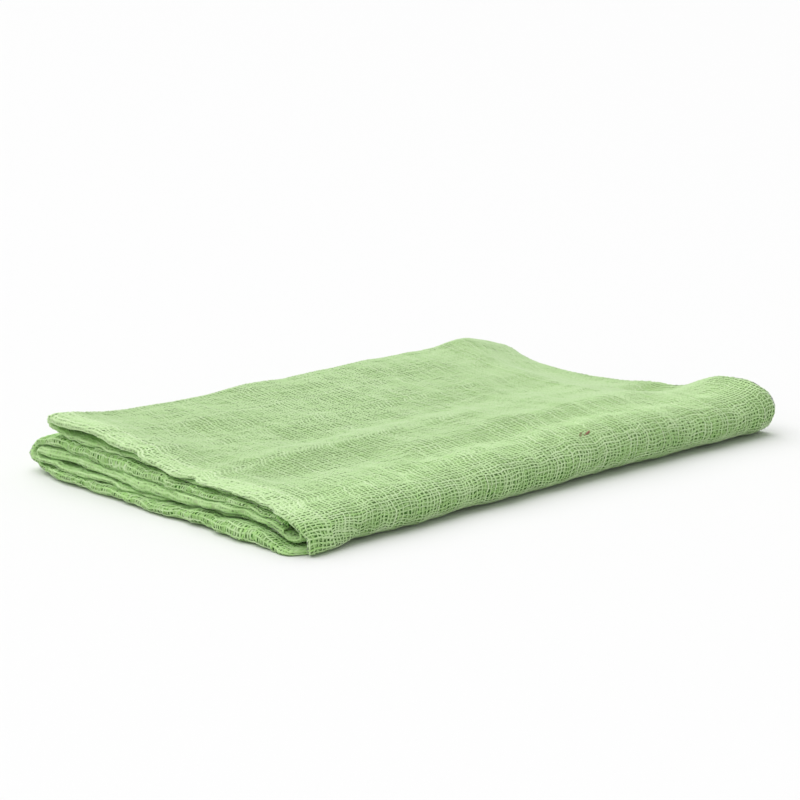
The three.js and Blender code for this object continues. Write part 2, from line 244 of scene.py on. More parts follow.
def stack_height(station, y):
    """Height of the pad's top."""
    front_share = smoothstep(y, station["front"] + SHARED_FRONT, MIDDLE_Y)
    back_share = smoothstep(y, MIDDLE_Y, station["flap_end"])
    front_part = blend(station["crest"], station["middle"], front_share)
    return blend(front_part, station["back"], back_share) + crease_height(station["x"], y)


def lift_height(station, y):
    end = station["loop_end"]
    return LIFT * smoothstep(y, end - LIFT_START, end - LIFT_END)


def left_share(station, y):
    """How much the left end's own seam heights count at a place."""
    near_end = 1 - smoothstep(station["x"] - LEFT_X, 0, LEFT_SEAM_REACH)
    return near_end * smoothstep(y, station["front"] + EVEN_FRONT, station["front"] + SHARED_FRONT)


def seam_height(station, seam, y):
    """Height of the seam under layer number seam; seam 6 is the pad's top."""
    lift = lift_height(station, y)
    even = blend(lift, stack_height(station, y), seam / LAYERS)
    at_left = along(LEFT_SEAMS, LEFT_SEAM_COLUMNS, y, LEFT_SEAM_COLUMNS[seam + 1])
    if 0 < seam < LAYERS:
        at_left = at_left + SEAM_WAVE * ripple(y, 0.0, SEAM_WAVELENGTH, 40 + seam)
    return blend(even, at_left, left_share(station, y))


def layer_bounds(station, layer, y):
    """Lowest and highest place of a layer."""
    low = seam_height(station, layer, y)
    high = seam_height(station, layer + 1, y)
    if layer in GAP_AT_SEAM:
        gap = along(LEFT_SEAMS, LEFT_SEAM_COLUMNS, y, GAP_AT_SEAM[layer])
        low = low + gap / 2 * left_share(station, y)
    if layer + 1 in GAP_AT_SEAM:
        gap = along(LEFT_SEAMS, LEFT_SEAM_COLUMNS, y, GAP_AT_SEAM[layer + 1])
        high = high - gap / 2 * left_share(station, y)
    return low, high


def layer_height(station, layer, y):
    low, high = layer_bounds(station, layer, y)
    return (low + high) / 2


def layer_half(station, layer, y):
    """Half of the room that a layer's four plies have."""
    low, high = layer_bounds(station, layer, y)
    return (high - low) / 2


def left_out(layer, y):
    """How far a layer's left end stands out."""
    return along(LEFT_OUTS, LEFT_OUT_COLUMNS, y, LEFT_OUT_COLUMNS[layer + 1])


def flat_run(station, layer, from_y, to_y):
    """Points along one flat layer: y, z, half room and left end, for each station."""
    share = np.linspace(0, 1, RUN_POINTS)[None, :]
    y = blend(from_y, to_y, share)
    z = layer_height(station, layer, y)
    return y, z, layer_half(station, layer, y), left_out(layer, y)


def bend(station, start, end, squeeze, raised=0.0):
    """Points round a bend from one layer to another; start and end are layer, y, reach.

    squeeze is the share of the layers' room in the middle of the bend, and raised
    how much its start is pulled up.
    """
    start_layer, start_y, start_reach = start
    end_layer, end_y, end_reach = end
    t = np.linspace(0, 1, RUN_POINTS)[None, :]
    z1 = layer_height(station, start_layer, start_y)
    z2 = layer_height(station, end_layer, end_y)
    weights = ((1 - t) ** 3, 3 * t * (1 - t) ** 2, 3 * t * t * (1 - t), t**3)
    y_hold = (start_y, start_y + start_reach, end_y + end_reach, end_y)
    z_hold = (z1, z1 + raised, z2, z2)
    y = sum(w * hold for w, hold in zip(weights, y_hold))
    z = sum(w * hold for w, hold in zip(weights, z_hold))
    half1 = layer_half(station, start_layer, start_y)
    half2 = layer_half(station, end_layer, end_y)
    half = blend(half1, half2, t) * blend(1, squeeze, np.sin(math.pi * t))
    return y, z, half, blend(left_out(start_layer, y), left_out(end_layer, y), t)


def hairpin_reach(station, lower, upper, y):
    """How far a close bend between two layers reaches on past a place."""
    rise = layer_height(station, upper, y) - layer_height(station, lower, y)
    return HAIRPIN_REACH * rise


def section_runs(station):
    """The cloth's way through the pad, run by run, at each station."""
    near_left = 1 - smoothstep(station["x"] - LEFT_X, 0, LEFT_SEAM_REACH)
    size = {}
    for name, (usual, change_at_left) in BENDS.items():
        size[name] = usual + change_at_left * near_left
    front = station["front"]
    lean = station["lean"]
    tuck = front + size["tuck"]
    outer_loop = station["loop_end"] - size["outer loop"]
    outer_reach = LOOP_REACH * size["outer loop"]
    inner_loop = station["loop_end"] - size["inner loop"]
    inner_reach = hairpin_reach(station, LOWER_INNER, MIDDLE, inner_loop)
    flap_reach = hairpin_reach(station, FLAP_UNDER, FLAP_TOP, station["flap_end"])
    flap_top = station["flap_end"] - flap_reach
    outer_under = front + size["outer under"]
    outer_crest = front + size["outer crest"]
    inner_under = front + size["inner under"]
    inner_crest = front + size["inner crest"]
    return {
        "upper inner": flat_run(station, UPPER_INNER, tuck, outer_loop),
        "back loop": bend(
            station,
            (UPPER_INNER, outer_loop, outer_reach),
            (BOTTOM, outer_loop, outer_reach),
            1,
        ),
        "bottom": flat_run(station, BOTTOM, outer_loop, outer_under),
        "front fold": bend(
            station,
            (BOTTOM, outer_under, size["outer under reach"]),
            (FLAP_TOP, outer_crest, lean + size["outer crest reach"]),
            1,
            size["front raised"],
        ),
        "flap top": flat_run(station, FLAP_TOP, outer_crest, flap_top),
        "flap end": bend(
            station,
            (FLAP_TOP, flap_top, flap_reach),
            (FLAP_UNDER, flap_top, flap_reach),
            TIGHT_SHARE,
        ),
        "flap under": flat_run(station, FLAP_UNDER, flap_top, inner_crest),
        "inner front fold": bend(
            station,
            (FLAP_UNDER, inner_crest, lean + size["inner crest reach"]),
            (LOWER_INNER, inner_under, size["inner under reach"]),
            1,
        ),
        "lower inner": flat_run(station, LOWER_INNER, inner_under, inner_loop),
        "inner loop": bend(
            station,
            (LOWER_INNER, inner_loop, inner_reach),
            (MIDDLE, inner_loop, inner_reach),
            TIGHT_SHARE,
        ),
        "middle": flat_run(station, MIDDLE, inner_loop, tuck),
    }


def right_in(x, y):
    """How far the right end draws in toward the back."""
    fade = smoothstep(x, RIGHT_X - RIGHT_IN_REACH, RIGHT_X)
    return along(RIGHT_IN, RIGHT_IN_COLUMNS, y, "inset") * fade


class Ribbon:
    """The six-layer ribbon's middle surface over x and the way w along the folds.

    w is the mean length in millimetres from the tucked upper end.
    """

    X_STEP = 2.0
    W_STEP = 0.8

    def __init__(self):
        count = int((RIGHT_X - LEFT_X) / self.X_STEP) + 1
        self.x = np.linspace(LEFT_X, RIGHT_X, count)
        column = self.x[:, None]
        station = {"x": column}
        for name in STATION_COLUMNS[1:]:
            station[name] = along(STATIONS, STATION_COLUMNS, column, name)
        parts = []
        self.start = {}
        self.end = {}
        length = 0.0
        for name, run in section_runs(station).items():
            y, z = run[0], run[1]
            steps = np.hypot(np.diff(y, axis=1), np.diff(z, axis=1))
            travelled = np.concatenate([np.zeros((count, 1)), np.cumsum(steps, axis=1)], axis=1)
            mean = travelled[:, -1].mean()
            points = max(int(round(mean / self.W_STEP)), 4)
            even = np.linspace(0, 1, points, endpoint=False)
            rows = []
            for r in range(count):
                share = travelled[r] / travelled[r, -1]
                rows.append([np.interp(even, share, run[k][r]) for k in range(4)])
            parts.append(np.array(rows))
            self.start[name] = length
            length += points * self.W_STEP
            self.end[name] = length
        grid = np.concatenate(parts, axis=2)
        self.w = np.arange(grid.shape[2]) * self.W_STEP
        y, z, self.half, out = (grid[:, k, :] for k in range(4))
        fade = 1 - smoothstep(column - LEFT_X, 0, LEFT_OUT_REACH)
        x = column - out * fade - right_in(column, y)
        self.place = np.stack([x - PAD_CENTRE[0], y - PAD_CENTRE[1], z], axis=-1)
        self.length = self.w[-1]

    def sample(self, field, x, w):
        """Value of one of the grids at x and w, straight between its points."""
        i = np.clip((x - self.x[0]) / (self.x[1] - self.x[0]), 0, len(self.x) - 1.0001)
        j = np.clip(w / self.W_STEP, 0, len(self.w) - 1.0001)
        i0 = i.astype(int)
        j0 = j.astype(int)
        di = i - i0
        dj = j - j0
        if field.ndim == 3:
            di = di[..., None]
            dj = dj[..., None]
        near = blend(field[i0, j0], field[i0 + 1, j0], di)
        far = blend(field[i0, j0 + 1], field[i0 + 1, j0 + 1], di)
        return blend(near, far, dj)


def unit(vectors):
    return vectors / np.maximum(np.linalg.norm(vectors, axis=-1, keepdims=True), 1e-9)


def past_front(w, reach):
    """How far a place w is on its way over the front fold's end, from 0 to 1."""
    crest = ribbon.end["front fold"]
    return smoothstep(w, crest + reach[0], crest + reach[1])


def on_the_top(w):
    """How much a place w along the ribbon belongs to the calm top."""
    return past_front(w, CALM_REACH)


ribbon = Ribbon()
across_step = np.gradient(ribbon.place, axis=0)
way_step = np.gradient(ribbon.place, axis=1)
ribbon.normal = unit(np.cross(across_step, way_step))

# Soft lumps all over: their height below the crest and on the top, wavelength, seed.
LUMPS = ((0.26, 0.22, 28, 7), (0.12, 0.05, 11, 8))
LUMP_REACH = (-6, 10)
past_crest = past_front(ribbon.w, LUMP_REACH)
lumps = 0.0
for height_below, height_on_top, wavelength, seed in LUMPS:
    high = blend(height_below, height_on_top, past_crest)
    lumps = lumps + high * ripple(ribbon.x[:, None], ribbon.w[None, :], wavelength, seed)
ribbon.place = ribbon.place + ribbon.normal * lumps[..., None]

# ------------------------------------------------------- four plies in the ribbon
# Positions of the plies in a layer's half room, from the outer side inward.
PLY_SHARES = (0.75, 0.25, -0.25, -0.75)

# The left fold's own room: what it stays clear of the next layer's, the least share
# of the layer's room, where that room is full again, and how square its round is.
FOLD_CLEARANCE = 0.3
LEAST_FOLD_SHARE = 0.4
FULL_ROOM_REACH = (2.5, 10)
FOLD_SQUARENESS = 0.9

# How deep the two left folds are and where they lie, and how they waver along the
# cloth, as spread, wavelength and seed.
LEFT_FOLD_DEPTH = 2.6
LEFT_FOLD_INSET = 0.4
LEFT_FOLD_WAVES = ((0.28, 20, 21), (0.16, 6, 22), (0.08, 2.6, 25))
LEFT_DEPTH_WAVES = ((0.12, 9, 23),)
INNER_FOLD_DEPTH = 1.0
INNER_FOLD_BACK = 1.6
INNER_FOLD_WAVES = ((0.4, 12, 24),)

# The right end: how far it grows flatter and by how much, the depth of the outer
# ply's turn, the cloth in it, and how far back the free edges end.
RIGHT_ROUND = 3.0
RIGHT_FLATTER = 0.75
RIGHT_TURN = 1.6
RIGHT_TURN_ARC = 1.6 * RIGHT_TURN
FREE_EDGE_BACK = (2.0, 3.2)

# The straight plies start this far from the left end. Close to the ground the cloth
# flattens softly, and it stays a little off it.
LEFT_TURNS_ROOM = 8
GROUND_SOFT = 0.4
SHEET_OFF_GROUND = 0.15
YARN_OFF_GROUND = 0.02


def left_fold_x(w):
    """Where the round of the left fold starts, wavering along the cloth."""
    return LEFT_X + LEFT_FOLD_DEPTH + LEFT_FOLD_INSET + ripples(w, 0.0, LEFT_FOLD_WAVES)


def left_fold_depth(w):
    return LEFT_FOLD_DEPTH * (1 + ripples(w, 0.0, LEFT_DEPTH_WAVES))


def ply_offset(share, x, w):
    """Height of a ply off the ribbon's middle surface."""
    half = ribbon.sample(ribbon.half, x, w)
    at_fold = np.maximum(half - FOLD_CLEARANCE, LEAST_FOLD_SHARE * half) / PLY_SHARES[0]
    room = blend(at_fold, half, smoothstep(x - LEFT_X, *FULL_ROOM_REACH))
    past = np.clip(1 - (RIGHT_X - x) / RIGHT_ROUND, 0, 1)
    return share * room * np.sqrt(1 - RIGHT_FLATTER * past**2)


def laid(x, offset, w):
    """The place at x and w, lifted off the ribbon's middle surface."""
    place = ribbon.sample(ribbon.place, x, w)
    normal = unit(ribbon.sample(ribbon.normal, x, w))
    return place + normal * offset[..., None]


def squarer(value):
    """Rounds a bend of a circle to a squarer one."""
    return np.sign(value) * np.abs(value) ** FOLD_SQUARENESS


def left_arc(w):
    """Length of cloth in half of the left fold's round."""
    half_there = np.abs(ply_offset(PLY_SHARES[0], left_fold_x(w), w))
    return math.pi / 2 * np.sqrt((left_fold_depth(w) ** 2 + half_there**2) / 2)


def full_width(w):
    """q where the outer ply starts its turn at the right end."""
    return left_arc(w) + RIGHT_X - RIGHT_TURN - left_fold_x(w)


def outer_ply(q, w):
    """A place on the outer plies. q is the length from the left fold's edge.

    It is positive on the ply that shows outside, which turns inward at the right
    end, and negative on the inner one.
    """
    turn_x = left_fold_x(w)
    arc = left_arc(w)
    side = np.where(q < 0, -1.0, 1.0)
    angle = np.clip(np.abs(q) / arc, 0, 1) * math.pi / 2
    x = turn_x - left_fold_depth(w) * squarer(np.cos(angle)) + np.maximum(np.abs(q) - arc, 0)
    end_x = RIGHT_X - RIGHT_TURN
    past = np.clip(x - end_x, 0, None)
    turned = np.clip(past / RIGHT_TURN_ARC, 0, 1) * math.pi
    going_back = np.maximum(past - RIGHT_TURN_ARC, 0)
    x = np.minimum(x, end_x) + RIGHT_TURN * np.sin(turned) - going_back
    outer = ply_offset(PLY_SHARES[0], np.maximum(x, turn_x), w)
    second = ply_offset(PLY_SHARES[1], np.maximum(x, turn_x), w)
    offset = side * blend(second, outer, 0.5 + 0.5 * np.cos(turned)) * squarer(np.sin(angle))
    return laid(x, offset, w)


def sheet_section():
    """The whole width of cloth as rows of ply, share of the way, from one free
    edge through all four plies to the other."""
    straight = LEFT_X + LEFT_TURNS_ROOM
    right_turn = RIGHT_X - RIGHT_TURN
    first_edge, last_edge = (RIGHT_X - back for back in FREE_EDGE_BACK)
    stretches = (
        ("inner", first_edge, straight, 44),
        ("left turn", -90, 90, 13),
        ("outer", straight, right_turn, 90),
        ("right turn", 0, 180, 9),
        ("second", right_turn, straight, 45),
        ("inner turn", 90, -90, 9),
        ("third", straight, last_edge, 44),
    )
    rows = []
    for kind, start, end, count in stretches:
        values = np.linspace(start, end, count)
        if "turn" in kind:
            values = values[1:-1]
        rows.extend((kind, value) for value in values)
    return rows


def sheet_places(w):
    """Places of the whole sheet: one row for each step across, over all of w."""
    turn_x = left_fold_x(w)
    depth = left_fold_depth(w)
    inner_x = turn_x + INNER_FOLD_BACK + ripples(w, 0.0, INNER_FOLD_WAVES)
    rows = []
    ply_of = {"inner": 3, "outer": 0, "second": 1, "third": 2}
    for kind, value in sheet_section():
        if kind in ply_of:
            x = np.full(w.shape, value)
            offset = ply_offset(PLY_SHARES[ply_of[kind]], x, w)
        elif kind == "left turn":
            angle = math.radians(value)
            x = turn_x - depth * squarer(math.cos(angle))
            offset = ply_offset(PLY_SHARES[0], turn_x, w) * squarer(math.sin(angle))
        elif kind == "inner turn":
            angle = math.radians(value)
            x = inner_x - INNER_FOLD_DEPTH * math.cos(angle)
            offset = ply_offset(PLY_SHARES[1], inner_x, w) * math.sin(angle)
        else:
            angle = math.radians(value)
            x = RIGHT_X - RIGHT_TURN + RIGHT_TURN * math.sin(angle) + 0 * w
            outer = ply_offset(PLY_SHARES[0], x, w)
            second = ply_offset(PLY_SHARES[1], x, w)
            offset = blend(second, outer, 0.5 + 0.5 * math.cos(angle))
        rows.append(laid(x, offset, w))
    return np.array(rows)


def make_mesh(name, places, faces, uv=None, tone=None, shade=None, facing=None):
    """A smooth mesh object in metres from places in millimetres."""
    mesh = bpy.data.meshes.new(name)
    mesh.vertices.add(len(places))
    mesh.vertices.foreach_set("co", (places * MM).astype(np.float32).ravel())
    mesh.loops.add(faces.size)
    mesh.loops.foreach_set("vertex_index", faces.astype(np.int32).ravel())
    mesh.polygons.add(len(faces))
    mesh.polygons.foreach_set("loop_start", np.arange(0, faces.size, faces.shape[1], dtype=np.int32))
    mesh.update(calc_edges=True)
    mesh.validate()
    mesh.polygons.foreach_set("use_smooth", np.ones(len(mesh.polygons), bool))
    if uv is not None:
        layer = mesh.uv_layers.new(name="cloth")
        layer.data.foreach_set("uv", (uv[faces.ravel()] * MM).astype(np.float32).ravel())
    for kind, values in (("tone", tone), ("shade", shade)):
        if values is not None:
            attribute = mesh.attributes.new(kind, "FLOAT", "POINT")
            attribute.data.foreach_set("value", values.astype(np.float32))
    if facing is not None:
        mesh.normals_split_custom_set_from_vertices(facing)
    made = bpy.data.objects.new(name, mesh)
    bpy.context.scene.collection.objects.link(made)
    return made


def grid_faces(rows, columns):
    corner = np.arange(rows * columns).reshape(rows, columns)
    quads = [corner[:-1, :-1], corner[:-1, 1:], corner[1:, 1:], corner[1:, :-1]]
    return np.stack(quads, axis=-1).reshape(-1, 4)


def keep_off_ground(places, least):
    """Flattens what would sink into the surface that the pad lies on."""
    low = places[..., 2]
    flat = least + GROUND_SOFT * np.exp((low - least - GROUND_SOFT) / GROUND_SOFT)
    places[..., 2] = np.where(low < least + GROUND_SOFT, flat, low)
    return places


COARSE_STEP = 3.6
FINE_STEPS = {
    "back loop": 2.0,
    "front fold": 1.7,
    "flap top": 1.7,
    "flap end": 0.8,
    "inner front fold": 2.4,
    "inner loop": 0.8,
}


def sheet_steps():
    """Steps of w along the whole sheet, finer where the cloth shows or bends."""
    steps = [0.0]
    for name in ribbon.start:
        start = ribbon.start[name]
        end = min(ribbon.end[name], ribbon.length)
        count = max(int(round((end - start) / FINE_STEPS.get(name, COARSE_STEP))), 3)
        steps.extend(np.linspace(start, end, count + 1)[1:])
    return np.array(steps)


def gauze_sheet():
    """The whole cloth as one thin sheet, its outer ply facing outwards."""
    w = sheet_steps()
    places = sheet_places(w)
    across = np.linalg.norm(np.diff(places, axis=0), axis=-1).mean(axis=1)
    u = np.concatenate([[0], np.cumsum(across)])
    uv = np.stack(np.broadcast_arrays(u[:, None], w[None, :]), axis=-1).reshape(-1, 2)
    places = keep_off_ground(places, SHEET_OFF_GROUND)
    faces = grid_faces(places.shape[0], places.shape[1])[:, ::-1]
    tone = np.tile(on_the_top(w), places.shape[0])
    return make_mesh("gauze_sheet", places.reshape(-1, 3), faces, uv=uv, tone=tone)


# ------------------------------------------------------------------- real yarns
# Pitches of the yarns, half their width and height, how far they weave over and under
# and stand off the sheet, and how much lift and thickness vary over which length.
# LOFT is 0 where a yarn is lit as a round one and 1 where it is lit as a flat one.
WARP_PITCH = 1.55
WEFT_PITCH = 1.1
WARP_WIDE = 0.23
WEFT_WIDE = 0.19
YARN_HIGH = 0.17
WEAVE_WAVE = 0.11
YARN_LIFT = 0.26
WARP_RISE = 0.04
UNEVEN_LIFT = 0.05
UNEVEN_LENGTH = 5
LOFT = 0.75
LOOSENESS = 0.13
LOOSE_LENGTH = 12

# The left folds' own yarns: wider and rounder, with painted shade that makes them
# darker below and painted light that makes them lighter on the flap.
FOLD_WARP_WIDE = 0.27
FOLD_WEFT_WIDE = 0.31
FOLD_LOFT = 0.62
FOLD_PAINTED_LIGHT_AND_SHADE = 0.13

# On the calm top the yarns are wider, lie closer to the sheet and vary less. Over the
# top, past the crest and away from the left edge, their colour is dimmed as painted shade.
TOP_WIDE = 1.35
TOP_SINK = 0.11
TOP_CALM = 0.7
TOP_PAINTED_SHADE = 0.15
SHADE_REACH = (-12, 30)
SHADE_FROM_LEFT = (2, 14)

# How yarns wander across and along the folds, as spread, wavelength and seed, and
# how much one yarn of its own is shifted or slides over the others.
ACROSS_WANDERS = ((0.24, 14, 61), (0.17, 6, 62), (0.11, 3, 67), (1.0, 120, 65))
WAY_WANDERS = ((0.22, 14, 63), (0.16, 6, 64), (0.11, 3, 68), (1.0, 130, 66))
OWN_ACROSS = 0.07
OWN_WAY = 0.04
SLIDE = 0.1
SLIDE_LENGTH = 9
OWN_STRETCH = 3.1

# Lightness of yarns from 0 to 1, with what varies it: by yarn, along a yarn and
# around one, where painted light and shade make the outward side the lightest and
# the side toward the cloth the darkest.
WARP_TONE = 0.56
WEFT_TONE = 0.46
OWN_WARP_TONE = 0.09
OWN_WEFT_TONE = 0.07
MOTTLE = 0.15
MOTTLE_LENGTH = 13
YARNS_APART = 40
ROUND_PAINTED_SHADE_TONES = (-0.1, 0.14, -0.1, -0.4)
OWN_WARP_WIDTH = 0.08
OWN_WEFT_WIDTH = 0.09

# The nets of yarns: the left folds' one ends NET_BORDER from the folds' edge, and the
# others start NET_GAP further on and turn in at the right end. The reaches go before
# and after the runs that a net covers. The samples are the places across the cloth
# where its length between two wefts is measured.
NET_BORDER = 9.3
NET_GAP = 0.2
NET_TURN_IN = 3.5
OUTER_NET_REACH = (5, 2)
LOOP_NET_REACH = (12, 4)
RIGHT_NET_WIDE = 7
WEFT_SAMPLES = (20, 70, 120, 170, 210)
LEFT_WEFT_SAMPLES = (-8, -4, 0, 4, 8)
RIGHT_WEFT_SAMPLES = (6, 3, 0)
WEFT_SAMPLE_STEP = 0.25


def yarn_tubes(name, lines, normals, widths, tones, shades, half_width, loft):
    """Flattened four-sided tubes along rows of points.

    lines and normals are rows x points x 3; the rest but the last two are rows x points.
    """
    rows, points = widths.shape
    heading = unit(np.gradient(lines, axis=1))
    normals = unit(normals - heading * (normals * heading).sum(-1, keepdims=True))
    side = np.cross(heading, normals)
    wide = (side * half_width) * widths[..., None]
    high = (normals * YARN_HIGH) * widths[..., None] ** 0.5
    ring = np.stack([lines + wide, lines + high, lines - wide, lines - high], axis=2)
    places = ring.reshape(-1, 3)
    corner = np.arange(rows * points * 4).reshape(rows, points, 4)
    here = corner[:, :-1, :]
    there = corner[:, 1:, :]
    turned_here = np.roll(here, -1, axis=2)
    turned_there = np.roll(there, -1, axis=2)
    walls = np.stack([here, there, turned_there, turned_here], axis=-1).reshape(-1, 4)
    first = corner[:, 0, :]
    last = corner[:, -1, ::-1]
    faces = np.concatenate([walls, first, last])
    steps = np.linalg.norm(np.diff(lines, axis=1), axis=-1)
    travelled = np.concatenate([np.zeros((rows, 1)), np.cumsum(steps, axis=1)], axis=1)
    along_yarn = np.repeat(travelled[..., None], 4, axis=2)
    round_yarn = np.broadcast_to(np.arange(4) * 0.5, along_yarn.shape)
    uv = np.stack([along_yarn, round_yarn], axis=-1).reshape(-1, 2)
    # Painted light and shade round each yarn: lightest outward, darkest toward the cloth.
    tone = (tones[..., None] + np.array(ROUND_PAINTED_SHADE_TONES)).ravel()
    shade = np.repeat(shades[..., None], 4, axis=2).ravel()
    round_normals = np.stack([side, normals, -side, -normals], axis=2)
    facing = unit(blend(round_normals, normals[:, :, None, :], loft)).reshape(-1, 3)
    places = keep_off_ground(places, YARN_OFF_GROUND)
    return make_mesh(name, places, faces, uv=uv, tone=tone, shade=shade, facing=facing)


def woven(surface, q, w, seed, refine_weft=1):
    """Warp and weft lines over one surface, plain weave, with their own wander.

    q and w are the even places of warps and wefts. Each weft has refine_weft points
    for every warp that it crosses.
    """
    chance = np.random.default_rng(seed)
    fine_q = np.interp(np.arange((len(q) - 1) * refine_weft + 1) / refine_weft, np.arange(len(q)), q)
    warp_number = np.arange(len(fine_q)) / refine_weft
    weft_number = np.arange(len(w))
    grid_q, grid_w = np.meshgrid(fine_q, w, indexing="ij")
    warp_wander = chance.normal(0, 1, (len(q), 1))
    weft_wander = chance.normal(0, 1, (1, len(w)))
    own_across = np.interp(warp_number, np.arange(len(q)), warp_wander[:, 0])[:, None]
    across = ripples(grid_q, grid_w, ACROSS_WANDERS) + OWN_ACROSS * own_across
    way = ripples(grid_q, grid_w, WAY_WANDERS) + OWN_WAY * weft_wander
    places = surface(grid_q + across, grid_w + way)
    normals = unit(np.cross(np.gradient(places, axis=0), np.gradient(places, axis=1)))
    over = np.cos(math.pi * (warp_number[:, None] + weft_number[None, :]))
    warp_shift = SLIDE * ripple(grid_q * OWN_STRETCH, grid_w, SLIDE_LENGTH, seed + 1)
    weft_shift = SLIDE * ripple(grid_q, grid_w * OWN_STRETCH, SLIDE_LENGTH, seed + 2)
    on_top = on_the_top(grid_w)
    calm = 1 - TOP_CALM * on_top
    uneven = UNEVEN_LIFT * calm * ripple(grid_q, grid_w, UNEVEN_LENGTH, seed + 3)
    base = YARN_LIFT - TOP_SINK * on_top + uneven
    thin = LOOSENESS * calm * ripple(grid_q, grid_w, LOOSE_LENGTH, seed + 8)
    loose = (1 + (TOP_WIDE - 1) * on_top) * (1 - thin)
    warps = places + normals * (base + WARP_RISE + WEAVE_WAVE * over)[..., None]
    wefts = places + normals * (base - WEAVE_WAVE * over)[..., None]
    warps[..., 0] += warp_shift
    wefts = wefts + unit(np.gradient(places, axis=1)) * weft_shift[..., None]
    own_warp = chance.normal(0, 1, (len(q), 1))
    own_weft = chance.normal(0, 1, (len(w), 1))
    warp_calm = calm[::refine_weft]
    warp_way = grid_w[::refine_weft]
    warp_patches = ripple(warp_way, own_warp * YARNS_APART, MOTTLE_LENGTH, seed + 5)
    weft_patches = ripple(grid_q.T, own_weft * YARNS_APART, MOTTLE_LENGTH, seed + 7)
    warp_mottle = MOTTLE * warp_calm * warp_patches
    weft_mottle = MOTTLE * calm.T * weft_patches
    # Painted shade: the yarns' colour is dimmed over the top, past the crest.
    shades = 1 - TOP_PAINTED_SHADE * past_front(grid_w, SHADE_REACH) * smoothstep(grid_q, *SHADE_FROM_LEFT)
    return {
        "warps": warps[::refine_weft],
        "warp normals": normals[::refine_weft],
        "warp widths": loose[::refine_weft] * (1 + OWN_WARP_WIDTH * own_warp),
        "warp tones": WARP_TONE + OWN_WARP_TONE * own_warp + warp_mottle,
        "warp shades": shades[::refine_weft],
        "weft shades": shades.T,
        "wefts": wefts.transpose(1, 0, 2),
        "weft normals": normals.transpose(1, 0, 2),
        "weft widths": loose.T * (1 + OWN_WEFT_WIDTH * own_weft),
        "weft tones": WEFT_TONE + OWN_WEFT_TONE * own_weft + weft_mottle,
    }


def net_pieces(name, net, first=0, last=None, wide=(WARP_WIDE, WEFT_WIDE), loft=LOFT):
    """Warp and weft pieces from the net's wefts first to last."""
    upto = None if last is None else last + 1
    kinds = ("s", " normals", " widths", " tones", " shades")
    rows = [net["warp" + kind][:, first:upto] for kind in kinds]
    warps = yarn_tubes(name + "_warps", *rows, wide[0], loft)
    rows = [net["weft" + kind][first:last] for kind in kinds]
    wefts = yarn_tubes(name + "_wefts", *rows, wide[1], loft)
    return [warps, wefts]


def warp_places(start, end):
    return np.arange(start, end, WARP_PITCH)


def weft_places(start, end, q_samples):
    """Places w of wefts that lie a pitch apart on the outer ply itself."""
    fine = np.arange(start, end, WEFT_SAMPLE_STEP)
    q, w = np.meshgrid(np.array(q_samples, float), fine, indexing="ij")
    steps = np.linalg.norm(np.diff(outer_ply(q, w), axis=1), axis=-1).mean(axis=0)
    travelled = np.concatenate([[0], np.cumsum(steps)])
    return np.interp(np.arange(0, travelled[-1], WEFT_PITCH), travelled, fine)


def outer_net():
    """Yarns of the ply that shows, from under the front fold to the flap's end."""
    start = ribbon.start["front fold"] - OUTER_NET_REACH[0]
    end = ribbon.end["flap end"] + OUTER_NET_REACH[1]
    width = float(full_width(np.array([start]))[0])
    q = warp_places(NET_BORDER + NET_GAP, width + NET_TURN_IN)
    w = weft_places(start, end, WEFT_SAMPLES)
    net = woven(outer_ply, q, w, 100)
    middle = len(w) // 2
    return net_pieces("front", net, 0, middle) + net_pieces("top", net, middle, len(w))


def left_fold_net():
    """Yarns round the left ends of all the layers, with painted light on the flap and painted shade
    below it.
    """
    q = warp_places(-NET_BORDER, NET_BORDER + NET_GAP / 2)
    w = weft_places(0.0, ribbon.length, LEFT_WEFT_SAMPLES)
    net = woven(outer_ply, q, w, 200, refine_weft=2)
    on_flap = on_the_top(w) * (w < ribbon.end["flap end"])
    # Painted light on the flap's yarns and painted shade on the lower folds' yarns.
    net["warp tones"] = net["warp tones"] + blend(-FOLD_PAINTED_LIGHT_AND_SHADE, FOLD_PAINTED_LIGHT_AND_SHADE, on_flap)[None, :]
    net["weft tones"] = net["weft tones"] + blend(-FOLD_PAINTED_LIGHT_AND_SHADE, FOLD_PAINTED_LIGHT_AND_SHADE, on_flap)[:, None]
    return net_pieces("left_folds", net, wide=(FOLD_WARP_WIDE, FOLD_WEFT_WIDE), loft=FOLD_LOFT)


def back_loop_net():
    """Yarns of the outer ply round the outer back loop."""
    start = ribbon.start["back loop"] - LOOP_NET_REACH[0]
    end = ribbon.end["back loop"] + LOOP_NET_REACH[1]
    width = float(full_width(np.array([start]))[0])
    q = warp_places(NET_BORDER + NET_GAP, width + NET_TURN_IN)
    w = weft_places(start, end, WEFT_SAMPLES)
    return net_pieces("back_loop", woven(outer_ply, q, w, 300))


def right_end_net(name, run_from, run_to, seed):
    """Yarns at the right ends of the layers between two runs."""
    start = ribbon.start[run_from]
    end = min(ribbon.end[run_to], ribbon.length)
    width = float(full_width(np.array([start]))[0])
    q = warp_places(width - RIGHT_NET_WIDE, width + NET_TURN_IN)
    w = weft_places(start, end, [width - inside for inside in RIGHT_WEFT_SAMPLES])
    return net_pieces(name, woven(outer_ply, q, w, seed))


